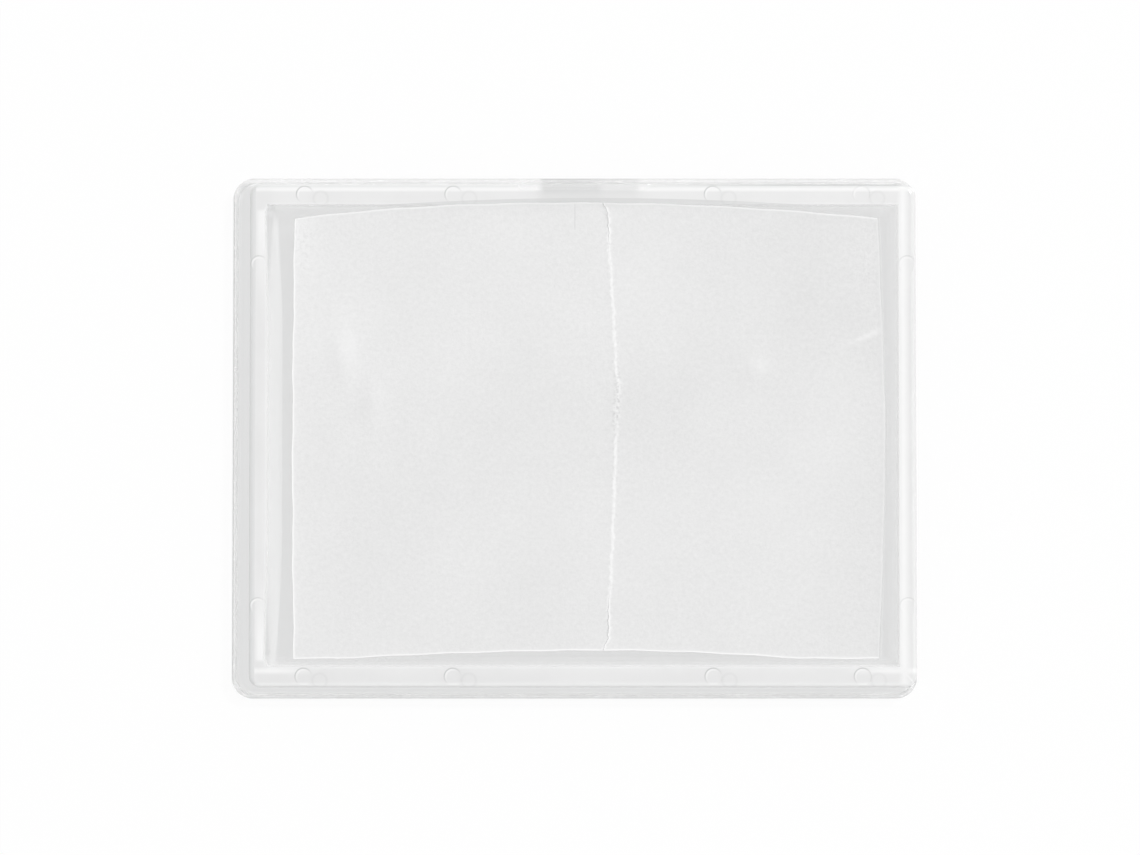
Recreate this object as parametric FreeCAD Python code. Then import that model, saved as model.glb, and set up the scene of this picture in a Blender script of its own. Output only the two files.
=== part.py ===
"""Wet palette: a clear moulded tray that stands in its own upturned lid.

Two damp sponge pads lie side by side on the tray's floor, each under a sheet of palette paper.
Millimetres, +Z up, origin on the table under the middle of the lid.
"""
import FreeCAD
import Part
import math
import os

Vector = FreeCAD.Vector

# Tray: rim, skirt and basin
rim_length = 195.4
rim_depth = 147.5
side_rim_width = 5.7
long_rim_width = 6.5
rim_corner = 3.4
shoulder_radius = 1.5
skirt_drop = 4.5
skirt_draft = 3.0
tray_height = 12.6
tray_wall = 1.6
basin_draft = 12.0
basin_corner = 0.8
basin_edge_radius = 0.5
floor_radius = 0.6
base_radius = 1.2

# Low round feet under the tray's base, which keep it from sticking to a wet lid
foot_diameter = 6.0
foot_height = 0.3
foot_inset = 12.0

# Round marks that the mould's pins leave on the rim
mark_diameter = 5.2
mark_depth = 0.2
mark_outer_reach = 81.5
mark_inner_reach = 38.0
mark_side_reach = 50.0

# Thumb cut-out in the middle of the back rim
thumb_length = 38.0
thumb_depth = 2.0
thumb_corner = 1.8

# Lid, lying on its back with its lip upwards
lid_clearance = 1.1
lid_wall = 1.6
lid_height = 8.5
lid_draft = 3.0
lid_lip_radius = 0.5
lid_panel_radius = 2.0
lid_inner_radius = 1.0

# Where the tray stands in the lid, off its middle
tray_shift_right = 2.5
tray_shift_back = 0.6

# Sheets of paper: what is left to the basin's wall and how far each edge bows
paper_thickness = 0.2
paper_gap_left = 6.8
paper_gap_right = 3.3
paper_gap_back = 0.4
paper_gap_front = 1.6
paper_bow_left = 0.6
paper_bow_right = 2.1
paper_bow_back = 3.2
paper_bow_front = 2.5

# Seam between the two sheets, bent to the right a little behind its middle
seam_offset = 7.4
seam_bow = 3.3
seam_bend_back = 14.8
seam_bend_radius = 60.0
seam_gap = 0.4

# Sponge pads
sponge_thickness = 10.0
sponge_inset = 0.7
sponge_seam_gap = 1.0
sponge_corner = 2.0
sponge_edge_radius = 0.8

# Levels and half sizes that follow, in the tray's own frame with its base at zero
rim_half = (rim_length / 2, rim_depth / 2)
opening_half = (rim_half[0] - side_rim_width, rim_half[1] - long_rim_width)
rim_middle = ((rim_half[0] + opening_half[0]) / 2, (rim_half[1] + opening_half[1]) / 2)
skirt_foot = tray_height - skirt_drop
sponge_top = tray_wall + sponge_thickness
paper_top = sponge_top + paper_thickness
overrun = 1.0
hair = 1e-4
tray_place = Vector(tray_shift_right, tray_shift_back, lid_wall + foot_height)


def lean(height, degrees):
    """Sideways run of a wall that leans by some degrees over a height."""
    return height * math.tan(math.radians(degrees))


def grown(half, amount):
    """Half sizes of a rectangle made larger all round."""
    return (half[0] + amount, half[1] + amount)


def basin_half(level):
    """Half sizes of the basin at a level, drawn in towards the floor by its draft."""
    return grown(opening_half, -lean(tray_height - level, basin_draft))


def edges_at(shape, level):
    """Edges that lie flat at one level."""
    flat = [edge for edge in shape.Edges if edge.BoundBox.ZLength < hair]
    return [edge for edge in flat if abs(edge.BoundBox.ZMin - level) < hair]


def uprights(shape, height):
    """Edges that rise by more than half of a height."""
    return [edge for edge in shape.Edges if edge.BoundBox.ZLength > height / 2]


def block(low_half, high_half, low, high, corner):
    """Block between two rectangles, with flat leaning sides and rounded upright corners."""
    turns = ((-1, -1), (1, -1), (1, 1), (-1, 1))
    foot = [Vector(i * low_half[0], j * low_half[1], low) for i, j in turns]
    head = [Vector(i * high_half[0], j * high_half[1], high) for i, j in turns]
    sides = [[foot[k - 1], foot[k], head[k], head[k - 1]] for k in range(len(turns))]
    loops = [foot[::-1], head] + sides
    faces = [Part.Face(Part.makePolygon(loop + loop[:1])) for loop in loops]
    solid = Part.makeSolid(Part.makeShell(faces))
    return solid.makeFillet(corner, uprights(solid, high - low))


def make_tray():
    """Basin hung in a hollow rim: a flat rim top, a rounded shoulder and a short outer skirt."""
    rim_top_half = grown(rim_half, -lean(skirt_drop, skirt_draft))
    rim = block(rim_half, rim_top_half, skirt_foot, tray_height, rim_corner)
    rim = rim.makeFillet(shoulder_radius, edges_at(rim, tray_height))

    well_top = tray_height - tray_wall / 2
    well_foot_half = grown(basin_half(0), tray_wall)
    well_head_half = grown(basin_half(well_top), tray_wall)
    well_corner = basin_corner + tray_wall
    well = block(well_foot_half, well_head_half, 0, well_top, well_corner)
    well = well.makeFillet(base_radius, edges_at(well, 0))

    roof = tray_height - tray_wall
    hollow_foot = skirt_foot - overrun
    hollow_foot_half = grown(rim_half, lean(overrun, skirt_draft) - tray_wall)
    hollow_roof_half = grown(rim_half, -lean(roof - skirt_foot, skirt_draft) - tray_wall)
    hollow_corner = rim_corner - tray_wall
    hollow = block(hollow_foot_half, hollow_roof_half, hollow_foot, roof, hollow_corner).cut(well)

    basin_top = tray_height + overrun
    basin = block(basin_half(tray_wall), basin_half(basin_top), tray_wall, basin_top, basin_corner)
    basin = basin.makeFillet(floor_radius, edges_at(basin, tray_wall))

    tray = rim.fuse(well).cut(hollow).cut(basin)
    mouth = [edge for edge in edges_at(tray, tray_height) if inside_rim(edge.BoundBox)]
    tray = tray.makeFillet(basin_edge_radius, mouth)
    return tray.fuse(feet()).cut(pin_marks()).cut(thumb_cut())


def inside_rim(box):
    """True for what stays within the middle of the rim's width, as the basin's mouth does."""
    return max(-box.XMin, box.XMax) < rim_middle[0] and max(-box.YMin, box.YMax) < rim_middle[1]


def discs(places, diameter, level, height):
    """Upright discs in all four quarters, at the places given for one of them."""
    spots = [Vector(i * x, j * y, level) for x, y in places for i in (-1, 1) for j in (-1, 1)]
    made = [Part.makeCylinder(diameter / 2, height, spot) for spot in spots]
    return made[0].multiFuse(made[1:])


def feet():
    """Four feet, near the corners of the base and a little sunk into it."""
    place = grown(basin_half(0), -foot_inset)
    return discs([place], foot_diameter, -foot_height, foot_height + tray_wall / 2)


def pin_marks():
    """Shallow round marks: four along each long rim and two along each short one."""
    along = [(reach, rim_middle[1]) for reach in (mark_outer_reach, mark_inner_reach)]
    places = along + [(rim_middle[0], mark_side_reach)]
    return discs(places, mark_diameter, tray_height - mark_depth, mark_depth * 2)


def thumb_cut():
    """Slot through the back skirt, where a thumb reaches the lid's lip."""
    start = Vector(-thumb_length / 2, rim_half[1] - thumb_depth, skirt_foot - overrun)
    slot = Part.makeBox(thumb_length, thumb_depth + overrun, skirt_drop + 2 * overrun, start)
    inner = [edge for edge in uprights(slot, skirt_drop) if edge.BoundBox.YMin < start.y + hair]
    return slot.makeFillet(thumb_corner, inner)


def make_lid():
    """Shallow pan that closes over the tray's rim, shown lying on its panel."""
    inner_half = grown(rim_half, lid_clearance)
    outer_half = grown(inner_half, lid_wall)
    inner_corner = rim_corner + lid_clearance
    panel_half = grown(outer_half, -lean(lid_height, lid_draft))
    outer = block(panel_half, outer_half, 0, lid_height, inner_corner + lid_wall)
    outer = outer.makeFillet(lid_panel_radius, edges_at(outer, 0))
    inner_top_half = grown(inner_half, lean(overrun, lid_draft))
    inner_floor_half = grown(inner_half, -lean(lid_height - lid_wall, lid_draft))
    inner = block(inner_floor_half, inner_top_half, lid_wall, lid_height + overrun, inner_corner)
    inner = inner.makeFillet(lid_inner_radius, edges_at(inner, lid_wall))
    lid = outer.cut(inner)
    return lid.makeFillet(lid_lip_radius, edges_at(lid, lid_height))


def pair_face(half, inset, level):
    """Outline of the two sheets together: four bowed edges between four corners, some way off the wall."""
    left = -half[0] + paper_gap_left + inset
    right = half[0] - paper_gap_right - inset
    back = half[1] - paper_gap_back - inset
    front = -half[1] + paper_gap_front + inset
    back_left = Vector(left + paper_bow_left, back - paper_bow_back, level)
    back_right = Vector(right - paper_bow_right, back - paper_bow_back, level)
    front_right = Vector(right - paper_bow_right, front, level)
    front_left = Vector(left + paper_bow_left, front, level)
    middle = (left + right) / 2
    edges = [
        Part.Arc(back_left, Vector(middle, back, level), back_right),
        Part.Arc(back_right, Vector(right, 0, level), front_right),
        Part.Arc(front_right, Vector(middle, front + paper_bow_front, level), front_left),
        Part.Arc(front_left, Vector(left, 0, level), back_left),
    ]
    return Part.Face(Part.Wire([edge.toShape() for edge in edges]))


def beyond_seam(offset, side, level, height):
    """Everything on one side of the seam line: two straight runs joined by an arc, moved sideways by an offset."""
    end = seam_offset + offset
    back = Vector(end, opening_half[1], level)
    bend = Vector(end + seam_bow, seam_bend_back, level)
    front = Vector(end, -opening_half[1], level)
    to_back = (back - bend).normalize()
    to_front = (front - bend).normalize()
    half_turn = (math.pi - to_back.getAngle(to_front)) / 2
    run = seam_bend_radius * math.tan(half_turn)
    sink = seam_bend_radius * (1 / math.cos(half_turn) - 1)
    crown = bend + (to_back + to_front).normalize() * sink
    arc = Part.Arc(bend + to_back * run, crown, bend + to_front * run).toShape()
    far = Vector(side * rim_length - end, 0, 0)
    rest = Part.makePolygon([bend + to_front * run, front, front + far, back + far, back, bend + to_back * run])
    return Part.Face(Part.Wire([arc, rest])).extrude(Vector(0, 0, height))


def layer(half, inset, gap, level, height):
    """One layer of two pieces that meet along the seam, left piece first."""
    whole = pair_face(half, inset, level).extrude(Vector(0, 0, height))
    left = whole.cut(beyond_seam(-gap / 2, 1, level, height))
    right = whole.cut(beyond_seam(gap / 2, -1, level, height))
    return left, right


def make_papers():
    """Two sheets lying flat on the sponges, each a little larger than its sponge."""
    return layer(basin_half(paper_top), 0, seam_gap, sponge_top, paper_thickness)


def make_sponges():
    """Two slabs on the tray's floor, with their corners and upper edges worn round."""
    slabs = layer(basin_half(tray_wall), sponge_inset, sponge_seam_gap, tray_wall, sponge_thickness)
    pads = [slab.makeFillet(sponge_corner, corner_edges(slab)) for slab in slabs]
    return [pad.makeFillet(sponge_edge_radius, edges_at(pad, sponge_top)) for pad in pads]


def corner_edges(slab):
    """Upright edges at a slab's four corners, which are those in its front and back quarters."""
    standing = uprights(slab, sponge_thickness)
    return [edge for edge in standing if abs(edge.BoundBox.YMin) > opening_half[1] / 2]


def export(node, shape, place=Vector(0, 0, 0)):
    """Writes one piece, moved to where it stands."""
    piece = shape.copy()
    piece.translate(place)
    piece.exportStep(f"parts/{node}.step")
    print(node, len(piece.Solids), piece.isValid(), round(piece.Volume, 1), piece.BoundBox)


os.makedirs("parts", exist_ok=True)
sponge_left, sponge_right = make_sponges()
paper_left, paper_right = make_papers()
export("lid", make_lid())
export("tray", make_tray(), tray_place)
export("sponge_left", sponge_left, tray_place)
export("sponge_right", sponge_right, tray_place)
export("paper_left", paper_left, tray_place)
export("paper_right", paper_right, tray_place)
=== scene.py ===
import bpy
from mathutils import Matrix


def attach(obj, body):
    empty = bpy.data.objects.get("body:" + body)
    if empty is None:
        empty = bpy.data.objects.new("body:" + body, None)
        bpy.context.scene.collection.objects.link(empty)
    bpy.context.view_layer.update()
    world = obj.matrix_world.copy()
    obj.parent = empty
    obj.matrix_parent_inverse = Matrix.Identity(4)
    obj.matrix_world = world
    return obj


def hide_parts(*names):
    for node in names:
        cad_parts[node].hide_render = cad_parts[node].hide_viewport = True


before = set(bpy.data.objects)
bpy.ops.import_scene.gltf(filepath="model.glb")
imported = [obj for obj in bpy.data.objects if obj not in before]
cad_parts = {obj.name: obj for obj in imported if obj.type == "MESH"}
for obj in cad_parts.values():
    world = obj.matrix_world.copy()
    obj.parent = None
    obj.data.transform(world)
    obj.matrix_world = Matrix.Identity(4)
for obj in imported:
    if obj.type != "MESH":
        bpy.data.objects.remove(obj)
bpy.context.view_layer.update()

import math
import bpy
import numpy as np
from mathutils import Vector

# Lid: a shallow pan moulded from clear, slightly milky plastic, laid on its back under the tray.
# Its walls are 1.6 mm thick. Its colour holds painted shade: a dark edge line, a grey lip, and a grey wall on the left,
# front and thumb cut where the tray shades it; the lip and edge are painted lighter at the back, as lit there, and the
# lip darker at the thumb cut.
lid_half = (0.1004, 0.07645)
lid_edge_painted_shade = (0.12, 0.125, 0.125, 1.0)
lid_edge_back_painted_light = (0.55, 0.555, 0.555, 1.0)
lid_lip_painted_shade = (0.50, 0.505, 0.505, 1.0)
lid_lip_back_painted_light = (0.88, 0.885, 0.885, 1.0)
lid_wall_painted_shade = (0.48, 0.485, 0.485, 1.0)
lid_thumb_painted_shade = (0.38, 0.385, 0.385, 1.0)
lid_panel_tint = (0.90, 0.905, 0.905, 1.0)
lid_cover = 0.4
lid_clearness = 1.0
lid_roughness = (0.05, 0.2)
lid_gloss = 0.5
lid_unevenness = 0.02
lid_seed = 3.0
plastic_ior = 1.5


def add(tree, kind, inputs=None, **settings):
    """One shader node: settings are its properties, and inputs are values or sockets by name."""
    made = tree.nodes.new("ShaderNode" + kind)
    for name, value in settings.items():
        setattr(made, name, value)
    for name, value in (inputs or {}).items():
        if isinstance(value, bpy.types.NodeSocket):
            tree.links.new(value, made.inputs[name])
        else:
            made.inputs[name].default_value = value
    return made


def empty_material(name):
    """A node material that holds only its output; gives the material, its tree and the output."""
    material = bpy.data.materials.new(name)
    material.use_nodes = True
    material.node_tree.nodes.clear()
    return material, material.node_tree, add(material.node_tree, "OutputMaterial")


def calc(tree, operation, *values):
    """One step of arithmetic on numbers or sockets."""
    return add(tree, "Math", dict(enumerate(values)), operation=operation).outputs[0]


def between(tree, factor, low, high):
    """A factor of 0 to 1 carried onto the range from low to high."""
    return add(tree, "MapRange", {"Value": factor, "To Min": low, "To Max": high}).outputs["Result"]


def ramp(tree, value, start, end):
    """0 up to the start, 1 from the end on, and straight between them."""
    return add(tree, "MapRange", {"Value": value, "From Min": start, "From Max": end}).outputs["Result"]


def stripe(tree, value, low, high, soft):
    """1 between low and high, falling to 0 over a soft edge on both sides."""
    return calc(tree, "MULTIPLY", ramp(tree, value, low - soft, low + soft), ramp(tree, value, high + soft, high - soft))


def blend(tree, factor, low, high):
    """A colour between two, each a colour or a socket."""
    mixed = add(tree, "Mix", {"Factor": factor}, data_type="RGBA")
    for socket, value in zip((mixed.inputs[6], mixed.inputs[7]), (low, high)):
        if isinstance(value, bpy.types.NodeSocket):
            tree.links.new(value, socket)
        else:
            socket.default_value = value
    return mixed.outputs[2]


def within(tree, x, y, half):
    """Distance inside a rectangle about the middle: the smaller of what is left to its sides."""
    left = [calc(tree, "SUBTRACT", size, calc(tree, "ABSOLUTE", value)) for size, value in zip(half, (x, y))]
    return calc(tree, "MINIMUM", *left)


def clear_moulding(name, seed, cover, clearness, roughness, gloss, unevenness, tint):
    """Clear plastic, part of which scatters: flow haze in its roughness and a faint unevenness of the mould's polish.
    Cover and tint are functions of the tree and the place on the piece."""
    material, tree, output = empty_material(name)
    place = add(tree, "TexCoord").outputs["Object"]
    moved = add(tree, "Mapping", {"Vector": place, "Location": (seed, seed, seed)}).outputs["Vector"]
    haze = add(tree, "TexNoise", {"Vector": moved, "Scale": 60.0, "Detail": 4.0}).outputs["Fac"]
    polish = add(tree, "TexNoise", {"Vector": moved, "Scale": 220.0, "Detail": 3.0}).outputs["Fac"]
    uneven = add(tree, "Bump", {"Height": polish, "Strength": unevenness, "Distance": 0.0004})
    surface = add(tree, "BsdfPrincipled", {
        "Base Color": tint(tree, place),
        "Roughness": between(tree, haze, *roughness),
        "IOR": plastic_ior,
        "Specular IOR Level": gloss,
        "Transmission Weight": clearness,
        "Alpha": cover(tree, place),
        "Normal": uneven.outputs["Normal"],
    })
    tree.links.new(surface.outputs["BSDF"], output.inputs["Surface"])
    return material


def lid_tint(tree, place):
    """Painted shade and light in stripes that follow the outline: a dark edge line, a grey lip, a grey wall that is
    clear on the right and back under the tray's rim, and the clear panel.
    """
    x, y, z = add(tree, "SeparateXYZ", {"Vector": place}).outputs
    inward = within(tree, x, y, lid_half)
    thumb = calc(tree, "MULTIPLY", stripe(tree, x, -0.0100, 0.0190, 0.0010), between(tree, ramp(tree, x, 0.0065, 0.0095), 1.0, 0.6))
    upright = stripe(tree, z, 0.0025, 0.0077, 0.0003)
    thumb = calc(tree, "MULTIPLY", thumb, between(tree, upright, 1.0, 0.5))
    clear_of_thumb = calc(tree, "SUBTRACT", 1.0, thumb)
    right = calc(tree, "MULTIPLY", ramp(tree, x, 0.0800, 0.0900), ramp(tree, y, -0.0690, -0.0660))
    rear = calc(tree, "MULTIPLY", ramp(tree, y, 0.0600, 0.0680), ramp(tree, x, -0.0910, -0.0880))
    under_rim = calc(tree, "MAXIMUM", right, calc(tree, "MULTIPLY", rear, clear_of_thumb))
    clear = calc(tree, "MAXIMUM", ramp(tree, inward, 0.0060, 0.0095), under_rim)
    tint = blend(tree, clear, lid_wall_painted_shade, lid_panel_tint)
    # Painted shade darkens the lip at the thumb cut, and painted light lightens the lip and edge along the back.
    shaded = calc(tree, "MULTIPLY", calc(tree, "MULTIPLY", thumb, ramp(tree, y, 0.0690, 0.0700)), ramp(tree, upright, 1.0, 0.0))
    back = calc(tree, "MULTIPLY", ramp(tree, y, 0.0700, 0.0745), clear_of_thumb)
    lip = blend(tree, back, blend(tree, shaded, lid_lip_painted_shade, lid_thumb_painted_shade), lid_lip_back_painted_light)
    tint = blend(tree, ramp(tree, inward, 0.0017, 0.0014), tint, lip)
    edge = blend(tree, back, lid_edge_painted_shade, lid_edge_back_painted_light)
    return blend(tree, ramp(tree, inward, 0.0006, 0.0004), tint, edge)


def dress(node, material):
    """Gives a solid of the frame its material."""
    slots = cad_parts[node].data.materials
    slots.clear()
    slots.append(material)


dress("lid", clear_moulding(
    "clear_lid", lid_seed, lambda tree, place: lid_cover, lid_clearness, lid_roughness, lid_gloss, lid_unevenness, lid_tint))

# Tray: moulded from the same plastic, with a basin hung in a hollow rim. It stands loose in the lid.
# The rim's flat top is frosted, and round marks of the mould's pins show on it. Highlights and shade on the rim and in
# the basin, and a shadow beside each mark, are painted into the colour.
tray_middle = (0.0025, 0.0006, 0.0)
rim_half = (0.0977, 0.07375)
mouth_half = (0.0920, 0.06725)
mouth_wider = 0.0008
rim_top = 0.0145
shoulder_width = 0.0019
wedge_start, wedge_end = 0.031, 0.0634
wedge_share = 0.75
wedge_foot, wedge_foot_taper = 0.0033, 0.00155
wedge_line, wedge_line_taper_front, wedge_line_taper_back = -0.0002, 0.0006, 0.00113
mark_places = ((0.0815, 0.0705, 0.8), (0.0380, 0.0705, 0.8), (0.09485, 0.0500, 0.35))
mark_radius = 0.0026
mark_shadow_offset = (0.0047, -0.0012)
tray_tint_low = (0.84, 0.84, 0.84, 1.0)
tray_tint_high = (0.93, 0.93, 0.93, 1.0)
rim_painted_highlight = (1.0, 1.0, 1.0, 1.0)
shoulder_painted_shade = (0.83, 0.835, 0.835, 1.0)
painted_sheet_shadow_tint = (0.76, 0.765, 0.765, 1.0)
thumb_painted_shade = (0.78, 0.785, 0.785, 1.0)
basin_painted_shade = (0.10, 0.105, 0.105, 1.0)
painted_shade_dark_grey = (0.55, 0.555, 0.555, 1.0)
tray_cover = 0.3
rim_cover = 0.92
basin_cover, basin_edge_cover = 0.12, 0.15
tray_clearness = 0.2
tray_roughness = (0.05, 0.2)
tray_gloss = 0.25
tray_unevenness = 0.02
tray_seed = 11.0


def tray_place(tree, place):
    """Sideways and lengthways place from the tray's middle, and the height."""
    own = add(tree, "VectorMath", {0: place, 1: tray_middle}, operation="SUBTRACT").outputs["Vector"]
    return add(tree, "SeparateXYZ", {"Vector": own}).outputs


def pin_mark(tree, x, y, spot, offset):
    """Distance from the nearest of four mirrored spots, and how far a point of it lies to the back left."""
    sideways = calc(tree, "SUBTRACT", x, calc(tree, "MULTIPLY_ADD", calc(tree, "SIGN", x), spot[0], offset[0]))
    lengthways = calc(tree, "SUBTRACT", y, calc(tree, "MULTIPLY_ADD", calc(tree, "SIGN", y), spot[1], offset[1]))
    squares = calc(tree, "MULTIPLY_ADD", sideways, sideways, calc(tree, "MULTIPLY", lengthways, lengthways))
    lean = calc(tree, "MULTIPLY_ADD", lengthways, 0.8, calc(tree, "MULTIPLY", sideways, -0.6))
    return calc(tree, "SQRT", squares), lean


def rim_stripes(tree, tint, x, y):
    """Painted light and shade in stripes along the rim: painted highlights on the crown where it turns to the lamp,
    along the fold at the front right corner and near the corners; painted shade on the left shoulder, on two lines
    at the back, in the thumb cut and where the sheet's back edge shades the rim."""
    from_left, from_front = calc(tree, "ADD", x, rim_half[0]), calc(tree, "ADD", y, rim_half[1])
    from_right, from_back = calc(tree, "SUBTRACT", rim_half[0], x), calc(tree, "SUBTRACT", rim_half[1], y)
    fold = stripe(tree, calc(tree, "MULTIPLY_ADD", from_front, -0.877, from_right), -0.0003, 0.0003, 0.0003)
    long_way = calc(tree, "ABSOLUTE", y)
    corner_gleam = calc(tree, "MULTIPLY", ramp(tree, long_way, 0.040, 0.060), ramp(tree, long_way, 0.0664, 0.0654))
    # Painted highlights: the crown on the right and back, a line at the front, the fold at the front right corner, and
    # gleams on the left and front near the corners.
    gleams = (
        stripe(tree, from_right, 0.0030, 0.0050, 0.0008),
        stripe(tree, from_back, 0.0014, 0.0023, 0.0003),
        stripe(tree, from_front, 0.0006, 0.0013, 0.0003),
        calc(tree, "MULTIPLY", fold, ramp(tree, from_front, 0.0066, 0.0060)),
        calc(tree, "MULTIPLY", stripe(tree, from_left, 0.0024, 0.0046, 0.0006), corner_gleam),
        calc(tree, "MULTIPLY", stripe(tree, from_front, 0.0042, 0.0056, 0.0005), ramp(tree, calc(tree, "ABSOLUTE", x), 0.076, 0.088)),
    )
    for gleam in gleams:
        tint = blend(tree, gleam, tint, rim_painted_highlight)
    # Painted shade: a grey line along the back shoulder, a darker line at the back edge on the right, and the grey left
    # shoulder that faces away from the lamp.
    tint = blend(tree, stripe(tree, from_back, 0.0007, 0.0010, 0.0001), tint, shoulder_painted_shade)
    rear_right = calc(tree, "MULTIPLY", stripe(tree, from_back, 0.0000, 0.0006, 0.0001), ramp(tree, x, 0.015, 0.060))
    tint = blend(tree, calc(tree, "MULTIPLY", rear_right, ramp(tree, from_right, 0.0020, 0.0060)), tint, painted_shade_dark_grey)
    tint = blend(tree, ramp(tree, from_left, shoulder_width + 0.0001, shoulder_width - 0.0001), tint, shoulder_painted_shade)

    # Painted shade in the thumb cut, weaker to the right and towards the inside.
    thumb = calc(tree, "MULTIPLY", stripe(tree, x, -0.0125, 0.0165, 0.0015), between(tree, ramp(tree, x, 0.0040, 0.0070), 1.0, 0.6))
    thumb = calc(tree, "MULTIPLY", thumb, between(tree, ramp(tree, from_back, 0.0022, 0.0036), 1.0, 0.45))
    thumb = calc(tree, "MULTIPLY", thumb, ramp(tree, from_back, 0.0068, 0.0064))
    tint = blend(tree, thumb, tint, thumb_painted_shade)
    # Painted shadow of the sheet's bowed back edge on the back rim.
    off = calc(tree, "SUBTRACT", x, 0.0035)
    curve = calc(tree, "MULTIPLY_ADD", calc(tree, "MULTIPLY", off, off), -0.53, 0.06945)
    painted_sheet_shadow = ramp(tree, calc(tree, "SUBTRACT", curve, y), -0.0001, 0.0001)
    return blend(tree, calc(tree, "MULTIPLY", painted_sheet_shadow, ramp(tree, y, 0.0671, 0.0673)), tint, painted_sheet_shadow_tint)


def corner_way(tree, y):
    """How far a place on the long way of the tray is on its way to the corners: 0 in the middle stretch, 1 at the end."""
    return ramp(tree, calc(tree, "ABSOLUTE", y), wedge_start, wedge_end)


def past_mouth(tree, x, y):
    """Distance inside the mouth of the basin, whose left side runs a little wider near the corners."""
    long_way = calc(tree, "ABSOLUTE", y)
    near_corner = calc(tree, "MULTIPLY", corner_way(tree, y), ramp(tree, long_way, 0.0668, 0.0652))
    wider = calc(tree, "MULTIPLY", near_corner, between(tree, ramp(tree, x, 0.0, -0.001), 0.0, mouth_wider))
    sideways = calc(tree, "SUBTRACT", calc(tree, "ADD", wider, mouth_half[0]), calc(tree, "ABSOLUTE", x))
    return calc(tree, "MINIMUM", sideways, calc(tree, "SUBTRACT", mouth_half[1], long_way))


def basin_light(tree, x, y):
    """1 on the lit wedge of the left wall and 0.5 on a fine lighter line beside the right sheet, where less painted
    shade is laid, 0 on the rest of the basin.
    The wedge lies between two curves that close up by a power of the way to the corners."""
    from_left, way = calc(tree, "ADD", x, mouth_half[0]), corner_way(tree, y)
    foot = calc(tree, "MULTIPLY_ADD", calc(tree, "POWER", way, 1.5), -wedge_foot_taper, wedge_foot)
    taper = between(tree, ramp(tree, y, -0.001, 0.001), wedge_line_taper_front, wedge_line_taper_back)
    line = calc(tree, "MULTIPLY_ADD", calc(tree, "MULTIPLY", way, way), taper, wedge_line)
    past_line = ramp(tree, calc(tree, "SUBTRACT", from_left, line), -0.0001, 0.0001)
    before_foot = ramp(tree, calc(tree, "SUBTRACT", foot, from_left), -0.0002, 0.0002)
    wedge = calc(tree, "MULTIPLY", calc(tree, "MULTIPLY", past_line, before_foot), ramp(tree, y, 0.0645, 0.0639))
    curve = calc(tree, "MULTIPLY_ADD", calc(tree, "MULTIPLY", y, y), -0.312, 0.0891)
    fine = calc(tree, "MULTIPLY", stripe(tree, calc(tree, "SUBTRACT", x, curve), -0.0002, 0.0002, 0.0001), 0.5)
    return calc(tree, "MAXIMUM", wedge, fine)


def tray_tint(tree, place):
    """Faint clouds of flow in the plastic, the painted highlights and shade of the rim, painted shade over the basin
    outside its lit wedge, and the pin marks with their painted shade, glints and shadows.
    """
    x, y, z = tray_place(tree, place)
    flow = add(tree, "TexNoise", {"Vector": place, "Scale": 45.0, "Detail": 3.0}).outputs["Fac"]
    tint = rim_stripes(tree, blend(tree, flow, tray_tint_low, tray_tint_high), x, y)
    # Painted shade over the basin's walls and floor, mostly lifted on the lit wedge of the left wall.
    basin = ramp(tree, past_mouth(tree, x, y), -0.0001, 0.0003)
    grey = calc(tree, "MULTIPLY", basin, calc(tree, "MULTIPLY_ADD", basin_light(tree, x, y), -wedge_share, 1.0))
    tint = blend(tree, grey, tint, basin_painted_shade)
    # Pin marks: a painted shaded arc on the back left of each ring and a painted glint inside it, and a faint painted
    # shadow ring offset to the front right; the painted shade of the marks is softened in the back right corner.
    softened = calc(tree, "MULTIPLY", ramp(tree, x, 0.060, 0.062), ramp(tree, y, 0.060, 0.062))
    for spot in mark_places:
        away, lean = pin_mark(tree, x, y, spot, (0.0, 0.0))
        ring = stripe(tree, away, mark_radius - 0.0003, mark_radius, 0.0001)
        dark = calc(tree, "MULTIPLY", ring, between(tree, ramp(tree, lean, -0.0010, 0.0020), 0.0, spot[2]))
        dark = calc(tree, "MULTIPLY", dark, between(tree, softened, 1.0, 0.2))
        tint = blend(tree, dark, tint, painted_shade_dark_grey)
        glint = stripe(tree, away, mark_radius - 0.0009, mark_radius - 0.0004, 0.0001)
        tint = blend(tree, calc(tree, "MULTIPLY", glint, ramp(tree, lean, 0.0, 0.0020)), tint, rim_painted_highlight)
        away, lean = pin_mark(tree, x, y, spot, mark_shadow_offset)
        faint = calc(tree, "MULTIPLY", stripe(tree, away, mark_radius - 0.0008, mark_radius - 0.0002, 0.0003), 0.2 * spot[2])
        tint = blend(tree, faint, tint, painted_shade_dark_grey)
    return tint


def tray_covering(tree, place):
    """How much of the light the plastic stops: most on the frosted top of the rim, least in the basin."""
    x, y, z = tray_place(tree, place)
    inside = ramp(tree, past_mouth(tree, x, y), -0.0005, -0.0001)
    top = calc(tree, "MULTIPLY", ramp(tree, inside, 1.0, 0.0), ramp(tree, z, rim_top - 0.0020, rim_top - 0.0010))
    near_corner = calc(tree, "MULTIPLY", corner_way(tree, y), ramp(tree, calc(tree, "ABSOLUTE", y), 0.0655, 0.0640))
    before_wedge = calc(tree, "MULTIPLY", ramp(tree, calc(tree, "ADD", x, mouth_half[0]), 0.0012, 0.0006), near_corner)
    basin = between(tree, before_wedge, basin_cover, basin_edge_cover)
    covered = add(tree, "Mix", {"Factor": inside, "A": tray_cover, "B": basin}).outputs["Result"]
    return calc(tree, "MULTIPLY_ADD", top, rim_cover - tray_cover, covered)


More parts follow.
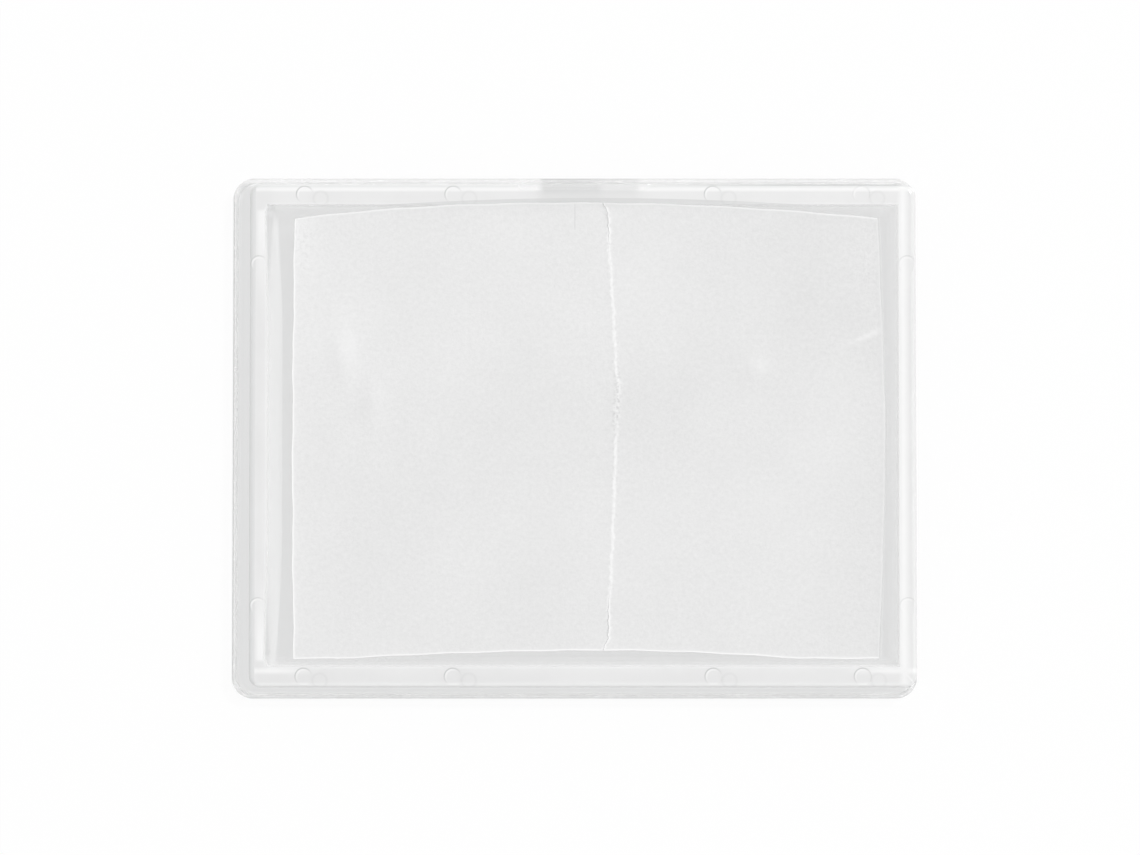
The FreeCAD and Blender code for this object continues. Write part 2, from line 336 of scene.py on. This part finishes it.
dress("tray", clear_moulding(
    "clear_tray", tray_seed, tray_covering, tray_clearness, tray_roughness, tray_gloss, tray_unevenness, tray_tint))

# Sponge pads: two slabs of open-pored cellulose that lie loose side by side on the tray's floor.
# They are cut with a blade, so the cut faces are full of open pores, and water has rounded their edges.
sponge_foot = 0.0035
sponge_top = 0.0135
sponge_inset = 0.0030
sponge_pore_painted_shade = (0.60, 0.60, 0.56, 1.0)
sponge_colour_top = (0.83, 0.83, 0.80, 1.0)


def seam_line(y):
    """Sideways place of the seam: two straight runs that meet in a bend, with a hook at each end and a torn wobble."""
    along = np.array([-63.0, -61.0, -59.0, -53.7, -47.9, -40.6, -11.4, 1.8, 10.5, 15.5, 21.7, 42.8, 57.5, 62.0, 65.7, 68.6])
    across = np.array([8.1, 8.9, 9.8, 9.7, 10.1, 10.7, 11.8, 12.15, 12.5, 12.8, 12.15, 11.0, 10.1, 9.8, 9.8, 8.3])
    mm = np.asarray(y) * 1000
    wobble = 0.10 * np.sin(mm * 1.9 + 0.6) + 0.07 * np.sin(mm * 4.3 + 2.0) + 0.12 * np.sin(mm * 0.55)
    return (np.interp(mm, along, across) + wobble) / 1000


def left_edge(y):
    """Outer edge of the left sheet: bowed outwards by 0.6 mm, with a slight waver of the blade."""
    return -0.08245 + 0.0006 * (y / 0.065) ** 2 + 0.00012 * np.sin(y * 210) + 0.00006 * np.sin(y * 560 + 1)


def right_edge(y):
    """Outer edge of the right sheet: bowed outwards by 2.1 mm."""
    return 0.09085 - 0.0021 * np.abs(y / 0.065) ** 1.4 + 0.00008 * np.sin(y * 260)


def back_edge(x):
    """Back edge of both sheets: furthest back at the seam, falling off to the corners by a power of the distance."""
    off = (np.asarray(x) - 0.004) / 0.0852
    power = np.where(off < 0, 2.6, 2.0)
    return 0.0685 - 0.0044 * np.abs(off) ** power + 0.00008 * np.sin(np.asarray(x) * 320)


def front_edge(x):
    """Front edge of both sheets: drawn in by 2.4 mm at the seam, level near the corners."""
    off = np.minimum(np.abs(np.asarray(x) - 0.008) / np.where(np.asarray(x) < 0.008, 0.076, 0.058), 1.0)
    return -0.0623 - 0.0024 * off ** 1.8 + 0.00008 * np.sin(np.asarray(x) * 350 + 2)


def spaced(count, crowding):
    """Steps from 0 to 1 that crowd towards both ends: a straight count less a sine of its double angle."""
    even = np.linspace(0, 1, count)
    return even - crowding * np.sin(2 * np.pi * even) / (2 * np.pi)


def four_sided(west, east, south, north, u, v):
    """Patch between four edges: the two straight blends of opposite edges, less the blend of the corners."""
    low, high = -0.0647, 0.0643
    y = low + (high - low) * v
    x = west(y)[None, :] * (1 - u)[:, None] + east(y)[None, :] * u[:, None]
    y = south(x) * (1 - v)[None, :] + north(x) * v[None, :]
    x = west(y) * (1 - u)[:, None] + east(y) * u[:, None]
    return x, y


def grid_faces(rows, columns, start=0):
    """Quads of a grid whose points run row by row."""
    corner = (np.arange(rows - 1)[:, None] * columns + np.arange(columns - 1)[None, :]).ravel() + start
    return np.stack([corner, corner + columns, corner + columns + 1, corner + 1], axis=1)


def new_piece(name, points, faces):
    """A mesh object from arrays of points and quads, smooth and at the origin."""
    mesh = bpy.data.meshes.new(name)
    mesh.vertices.add(len(points))
    mesh.vertices.foreach_set("co", np.ascontiguousarray(points, dtype=np.float32).ravel())
    mesh.loops.add(faces.size)
    mesh.loops.foreach_set("vertex_index", faces.ravel().astype(np.int32))
    mesh.polygons.add(len(faces))
    mesh.polygons.foreach_set("loop_start", np.arange(0, faces.size, 4, dtype=np.int32))
    mesh.update(calc_edges=True)
    mesh.validate()
    mesh.polygons.foreach_set("use_smooth", np.ones(len(mesh.polygons), dtype=bool))
    piece = bpy.data.objects.new(name, mesh)
    bpy.context.scene.collection.objects.link(piece)
    return piece


def hashed(i, j, seed):
    """A repeatable number from 0 to 1 for each cell of a grid: the fraction left of a large sine."""
    value = np.sin(i * 127.1 + j * 311.7 + seed * 74.7) * 43758.5453
    return value - np.floor(value)


def pores(a, b, cell, seed):
    """Open pores: 1 in the middle of a round hole of random size, 0 between the holes. Each cell has one hole."""
    i, j = np.floor(a / cell), np.floor(b / cell)
    deepest = np.zeros_like(a)
    for di in (-1, 0, 1):
        for dj in (-1, 0, 1):
            x = (i + di + hashed(i + di, j + dj, seed)) * cell
            y = (j + dj + hashed(i + di, j + dj, seed + 1)) * cell
            size = cell * (0.15 + 0.75 * hashed(i + di, j + dj, seed + 2) ** 2)
            hole = np.clip(1 - np.hypot(a - x, b - y) / size, 0, 1)
            deepest = np.maximum(deepest, hole)
    return np.sqrt(deepest)


def sponge_slab(name, west, east, seed):
    """Closed slab: a top and a bottom patch of the same plan, joined by rows down the sides.
    The sides bulge by a half circle's edge at the top, and every face is sunk where a pore opens."""
    rows, columns, side_rows = 150, 205, 12
    u, v = spaced(rows, 0.5), spaced(columns, 0.5)
    x, y = four_sided(west, east, lambda x: front_edge(x) + sponge_inset, lambda x: back_edge(x) - sponge_inset, u, v)
    rim = np.minimum(np.minimum(u, 1 - u)[:, None] * 0.09, np.minimum(v, 1 - v)[None, :] * 0.13)
    softened = 0.0010 * np.clip(1 - rim / 0.0014, 0, 1) ** 2
    holes = 0.0012 * pores(x, y, 0.0032, seed) + 0.0005 * pores(x, y, 0.0013, seed + 9)
    top = np.stack([x, y, sponge_top - 0.00005 - softened - holes * np.clip(rim / 0.0008, 0.2, 1)], axis=-1)
    bottom = np.stack([x, y, np.full_like(x, sponge_foot + 0.00005)], axis=-1)

    number = np.arange(rows * columns).reshape(rows, columns)
    ring = np.concatenate([number[:-1, 0], number[-1, :-1], number[:0:-1, -1], number[0, :0:-1]])
    edge_top, edge_low = top.reshape(-1, 3)[ring], bottom.reshape(-1, 3)[ring]
    step = (np.arange(1, side_rows) / side_rows)[:, None, None]
    side = edge_top[None] * (1 - step) + edge_low[None] * step
    middle = np.array([x.mean(), y.mean(), 0])
    out = edge_top - middle
    out[:, 2] = 0
    out /= np.linalg.norm(out, axis=1)[:, None]
    walk = np.cumsum(np.linalg.norm(np.diff(edge_top, axis=0, prepend=edge_top[-1:]), axis=1))
    high = side[:, :, 2]
    sunk = 0.0009 * pores(np.broadcast_to(walk, high.shape), high, 0.0028, seed + 4)
    side = side - out[None] * sunk[:, :, None] * np.sin(np.pi * step)

    flat = rows * columns
    points = np.concatenate([top.reshape(-1, 3), bottom.reshape(-1, 3), side.reshape(-1, 3)])
    loops = np.concatenate([ring[None], (2 * flat + np.arange(side_rows - 1)[:, None] * len(ring) + np.arange(len(ring))[None]), flat + ring[None]])
    here, there = loops[:-1], loops[1:]
    walls = np.stack([here, there, np.roll(there, -1, axis=1), np.roll(here, -1, axis=1)], axis=-1).reshape(-1, 4)
    faces = np.concatenate([grid_faces(rows, columns), grid_faces(rows, columns, flat)[:, ::-1], walls])
    return new_piece(name, points, faces)


def sponge_finish(name):
    """Cellulose sponge: pale, with painted shade in a pattern of pores and a rough damp skin."""
    material, tree, output = empty_material(name)
    place = add(tree, "TexCoord").outputs["Object"]
    cells = add(tree, "TexVoronoi", {"Vector": place, "Scale": 900.0}).outputs["Distance"]
    blotch = add(tree, "TexNoise", {"Vector": place, "Scale": 350.0, "Detail": 5.0}).outputs["Fac"]
    mixed = add(tree, "Math", {0: cells, 1: blotch}, operation="MULTIPLY").outputs[0]
    shade = add(tree, "MapRange", {"Value": mixed, "From Max": 0.5}).outputs["Result"]
    colour = blend(tree, shade, sponge_colour_top, sponge_pore_painted_shade)
    bump = add(tree, "Bump", {"Height": mixed, "Strength": 0.5, "Distance": 0.0006})
    surface = add(tree, "BsdfPrincipled", {
        "Base Color": colour,
        "Roughness": 0.62,
        "Normal": bump.outputs["Normal"],
    })
    tree.links.new(surface.outputs["BSDF"], output.inputs["Surface"])
    return material


sponge_material = sponge_finish("damp_sponge")
sponge_sides = {
    "left": (lambda y: left_edge(y) + sponge_inset, lambda y: seam_line(y) - 0.0006, 5),
    "right": (lambda y: seam_line(y) + 0.0006, lambda y: right_edge(y) - sponge_inset, 17),
}
for hand, (west, east, seed) in sponge_sides.items():
    sponge = sponge_slab(f"sponge_pad_{hand}", west, east, seed)
    sponge.data.materials.append(sponge_material)
    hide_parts(f"sponge_{hand}")
    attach(sponge, f"sponge_{hand}")

# Palette papers: two damp sheets laid on the sponges, edge to edge along a torn seam.
# Water has cockled them a little, and their cut edges have turned up; a painted highlight runs along the cut and torn
# edges where they catch the light.
paper_level = 0.0137
paper_thickness = 0.0002
paper_colour = (0.79, 0.79, 0.79, 1.0)
paper_painted_highlight_white = (0.98, 0.98, 0.98, 1.0)
paper_slit_painted_shade = (0.45, 0.45, 0.45, 1.0)
seam_gap = 0.00001
seam_end_gap = 0.00020


def swell(x, y, centre, size, height, turn=0.0):
    """Soft rise: a bell curve over an ellipse that is turned about its centre."""
    c, s = math.cos(turn), math.sin(turn)
    a = ((x - centre[0]) * c + (y - centre[1]) * s) / size[0]
    b = ((y - centre[1]) * c - (x - centre[0]) * s) / size[1]
    return height * np.exp(-a * a - b * b)


def cockle(x, y):
    """Height of the damp sheet over its sponge: long waves, a few soft swells and a crease."""
    mm_x, mm_y = x * 1000, y * 1000
    waves = 0.05 * np.sin(mm_x / 11 + mm_y / 23) + 0.05 * np.sin(mm_y / 14 - mm_x / 31 + 1) + 0.03 * np.sin(mm_x / 6 + 2)
    rise = waves / 1000 + 0.00013
    rise += swell(x, y, (-0.0680, 0.0250), (0.0035, 0.0090), 0.00045, 0.1)
    rise += swell(x, y, (-0.0595, 0.0095), (0.0032, 0.0060), 0.00060)
    rise += swell(x, y, (0.0530, 0.0200), (0.0040, 0.0035), 0.00035)
    rise += swell(x, y, (0.0860, 0.0293), (0.0060, 0.0008), 0.00030, 0.42)
    return rise


def seam_opening(y):
    """1 near both ends of the seam, where it gapes, and 0 between: two bell curves."""
    return np.exp(-((y + 0.0560) / 0.0060) ** 2) + np.exp(-((y - 0.0645) / 0.0055) ** 2)


def seam_side(y):
    """Half of the gap along the seam: a hair, and more where it gapes."""
    return seam_gap + seam_end_gap * seam_opening(y)


def paper_sheet(name, west, east, torn_west):
    """One sheet: a patch between its four edges, lifted by its cockle and turned up along the edges.
    The attribute edge is painted highlight: 1 on the cut and torn edges, falling off as a bell curve of the distance
    from them, and weaker on the swells, the crease, the crumpled corner at the back left and where the back edge lifts
    over the rim.
    The attribute fray is 1 where the fibres stand up, along the seam and in the two crumpled corners at the back."""
    rows, columns = 140, 190
    u, v = spaced(rows, 0.94), spaced(columns, 0.94)
    x, y = four_sided(west, east, front_edge, back_edge, u, v)
    from_west, from_east, from_front, from_back = x - west(y), east(y) - x, y - front_edge(x), back_edge(x) - y
    outer = from_east if torn_west else from_west
    cut = np.minimum.reduce([from_front, from_back, outer])
    torn = from_west if torn_west else from_east
    turned = 0.00020 * np.exp(-cut / 0.0008)
    lip = 0.00008 * np.exp(-torn / 0.0007)
    over_rim = 0.0013 * np.exp(-((x - 0.004) / 0.045) ** 2) * np.exp(-from_back / 0.0030)
    z = paper_level + cockle(x, y) + turned + lip + over_rim
    piece = new_piece(name, np.stack([x, y, z], axis=-1).reshape(-1, 3), grid_faces(rows, columns))

    faded = 1 - 0.85 * np.exp(-((y - 0.0065) / 0.0055) ** 2)
    gaping = np.minimum(seam_opening(y), 1)
    faded = np.minimum(faded + 0.2 * gaping, 1.1) if torn_west else faded * (1 - 0.9 * gaping)
    ragged = 0.00042 + 0.00008 * np.sin(y * 2100) + 0.00006 * np.sin(y * 4700 + 1) + 0.00018 * gaping
    share = np.where(outer > cut, 1.0, 0.45 if torn_west else 1.0)
    # Painted highlight: along the cut and torn edges, on the back edge where it lifts over the rim, on the swells and
    # crease, and on the crumpled corner at the back left.
    white = np.maximum(share * np.exp(-(cut / 0.00038) ** 2), 0.9 * faded * np.exp(-(torn / ragged) ** 2))
    white = np.maximum(white, 0.30 * np.exp(-((x - 0.004) / 0.045) ** 2) * np.exp(-from_back / 0.0030))
    white = np.maximum(white, swell(x, y, (0.0857, 0.0296), (0.0052, 0.0006), 0.45, 0.42))
    white = np.maximum(white, swell(x, y, (-0.0665, 0.0250), (0.0030, 0.0080), 0.18, 0.15))
    white = np.maximum(white, swell(x, y, (-0.0810, 0.0590), (0.0050, 0.0110), 0.30))
    white = np.maximum(white, swell(x, y, (0.0545, 0.0205), (0.0035, 0.0030), 0.18))
    crumpled = swell(x, y, (-0.0803, 0.0580), (0.0045, 0.0100), 0.30) + swell(x, y, (0.0850, 0.0520), (0.0060, 0.0120), 0.12)
    frayed = np.exp(-(torn / 0.0010) ** 2) * (0.25 + 0.50 * np.exp(-((y - 0.0095) / 0.0090) ** 2))
    for layer, value in (("edge", white), ("fray", np.maximum(crumpled, frayed))):
        piece.data.attributes.new(layer, "FLOAT", "POINT").data.foreach_set("value", value.astype(np.float32).ravel())
    body = piece.modifiers.new("thickness", "SOLIDIFY")
    body.thickness = paper_thickness
    body.offset = -1.0
    plan = np.stack([x, y], axis=-1)
    area = np.abs(np.cross(np.diff(plan, axis=0)[:, :-1], np.diff(plan, axis=1)[:-1])).sum()
    return piece, (float(np.ptp(x)), float(np.ptp(y))), float(area)


def paper_finish(name):
    """Damp paper: pale grey, with fibre grain, a painted highlight along the edges from the attribute edge, and specks
    of painted light and shade where it is frayed.
    """
    material, tree, output = empty_material(name)
    place = add(tree, "TexCoord").outputs["Object"]
    fibres = add(tree, "TexNoise", {"Vector": place, "Scale": 800.0, "Detail": 4.0, "Roughness": 0.8}).outputs["Fac"]
    clouds = add(tree, "TexNoise", {"Vector": place, "Scale": 130.0, "Detail": 3.0}).outputs["Fac"]
    broad = add(tree, "TexNoise", {"Vector": place, "Scale": 22.0, "Detail": 2.0}).outputs["Fac"]
    tufts = add(tree, "TexNoise", {"Vector": place, "Scale": 1100.0, "Detail": 1.0}).outputs["Fac"]
    fray = add(tree, "Attribute", attribute_name="fray").outputs["Fac"]
    grain = add(tree, "Mix", {"Factor": 0.12, "A": fibres, "B": clouds}).outputs["Result"]
    shade = calc(tree, "MULTIPLY_ADD", calc(tree, "SUBTRACT", grain, 0.5), 0.26, 1.0)
    shade = calc(tree, "MULTIPLY_ADD", calc(tree, "SUBTRACT", broad, 0.5), 0.12, shade)
    # Painted shade in dark specks where the fibres are frayed.
    hollow = calc(tree, "MULTIPLY", calc(tree, "MULTIPLY", fray, ramp(tree, tufts, 0.47, 0.35)), -0.24)
    x, y, z = add(tree, "SeparateXYZ", {"Vector": place}).outputs
    shade = calc(tree, "MULTIPLY_ADD", x, -0.3, calc(tree, "ADD", shade, hollow))
    tone = add(tree, "VectorMath", {0: paper_colour[:3], "Scale": shade}, operation="SCALE").outputs["Vector"]
    # Painted shade: a dark line where a slit runs in from the back edge, left of the seam.
    slit = calc(tree, "MULTIPLY", stripe(tree, x, 0.0000, 0.0003, 0.0001), ramp(tree, y, 0.0605, 0.0615))
    tone = blend(tree, calc(tree, "MULTIPLY", slit, 0.3), tone, paper_slit_painted_shade)
    # Painted highlight: the attribute edge, broken into specks where frayed, with light specks of the frayed fibres.
    white = add(tree, "Attribute", attribute_name="edge").outputs["Fac"]
    broken = calc(tree, "MULTIPLY_ADD", fray, calc(tree, "SUBTRACT", ramp(tree, tufts, 0.40, 0.60), 1.0), 1.0)
    painted_highlight_mask = calc(tree, "MULTIPLY", calc(tree, "MULTIPLY", fray, ramp(tree, tufts, 0.52, 0.66)), 0.8)
    painted_highlight_mask = calc(tree, "MAXIMUM", calc(tree, "MULTIPLY", white, broken), painted_highlight_mask)
    colour = blend(tree, painted_highlight_mask, tone, paper_painted_highlight_white)
    height = calc(tree, "MULTIPLY_ADD", calc(tree, "MULTIPLY", tufts, fray), 3.0, fibres)
    bump = add(tree, "Bump", {"Height": height, "Strength": 0.4, "Distance": 0.00015})
    surface = add(tree, "BsdfPrincipled", {
        "Base Color": colour,
        "Roughness": 0.7,
        "Normal": bump.outputs["Normal"],
    })
    tree.links.new(surface.outputs["BSDF"], output.inputs["Surface"])
    return material


paper_material = paper_finish("damp_paper")
paper_sides = {
    "left": (left_edge, lambda y: seam_line(y) - seam_side(y), False),
    "right": (lambda y: seam_line(y) + seam_side(y), right_edge, True),
}
for hand, (west, east, torn_west) in paper_sides.items():
    paper, flat, area = paper_sheet(f"palette_paper_{hand}", west, east, torn_west)
    paper.data.materials.append(paper_material)
    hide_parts(f"paper_{hand}")
    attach(paper, f"paper_{hand}")

# Table: a white board under the palette, and the light of a small studio.
# The lid lies on it with a hair of air between, as on any real table.
table_half = 3.0
table_drop = 0.0003
table_colour = (0.93, 0.93, 0.93, 1.0)
table_white_share = 0.94
corners = np.array([(-1, -1), (1, -1), (1, 1), (-1, 1)]) * table_half
table_points = np.column_stack([corners, np.full(4, -table_drop)])
table = new_piece("table", table_points, np.array([[0, 1, 2, 3]]))


def looked_at(tree):
    """1 for what the camera sees straight, in a gloss or through clear plastic, and 0 for what only lights."""
    rays = add(tree, "LightPath").outputs
    seen = add(tree, "Math", {0: rays["Is Camera Ray"], 1: rays["Is Glossy Ray"]}, operation="ADD").outputs[0]
    return add(tree, "Math", {0: seen, 1: rays["Is Transmission Ray"]}, operation="ADD", use_clamp=True).outputs[0]


material, tree, output = empty_material("table_white")
share = between(tree, looked_at(tree), 0.0, table_white_share)
matt = add(tree, "BsdfDiffuse", {"Color": table_colour}).outputs["BSDF"]
white = add(tree, "Emission", {"Strength": 1.0}).outputs["Emission"]
both = add(tree, "MixShader", {0: share, 1: matt, 2: white}).outputs["Shader"]
tree.links.new(both, output.inputs["Surface"])
table.data.materials.append(material)

world = bpy.data.worlds.new("studio")
bpy.context.scene.world = world
world.use_nodes = True
sky = world.node_tree.nodes["Background"]
sky.inputs["Color"].default_value = (1, 1, 1, 1)
strength = between(world.node_tree, looked_at(world.node_tree), 0.58, 1.0)
world.node_tree.links.new(strength, sky.inputs["Strength"])


def softbox(name, place, size, power):
    """Square lamp that faces the palette."""
    lamp = bpy.data.lights.new(name, "AREA")
    lamp.shape = "SQUARE"
    lamp.size = size
    lamp.energy = power
    box = bpy.data.objects.new(name, lamp)
    box.location = place
    box.rotation_euler = (-Vector(place)).to_track_quat("-Z", "Y").to_euler()
    bpy.context.scene.collection.objects.link(box)


softbox("key_lamp", (2.00, 1.50, 5.00), 0.40, 147.0)

# Camera: nearly straight above, a little towards the front edge.
# A long lens from 1.2 m keeps the sides of the palette nearly upright.
lens_distance = 1.2
tilt = math.radians(2.5)
aim = Vector((-0.00128, 0.00302, 0.0085))
view_width = 0.3348
lens = bpy.data.cameras.new("camera")
lens.sensor_width = 36.0
lens.lens = lens.sensor_width * lens_distance / view_width
camera = bpy.data.objects.new("camera", lens)
camera.location = aim + lens_distance * Vector((0, -math.sin(tilt), math.cos(tilt)))
camera.rotation_euler = (tilt, 0, 0)
bpy.context.scene.collection.objects.link(camera)
bpy.context.scene.camera = camera
bpy.context.scene.view_settings.view_transform = "Standard"
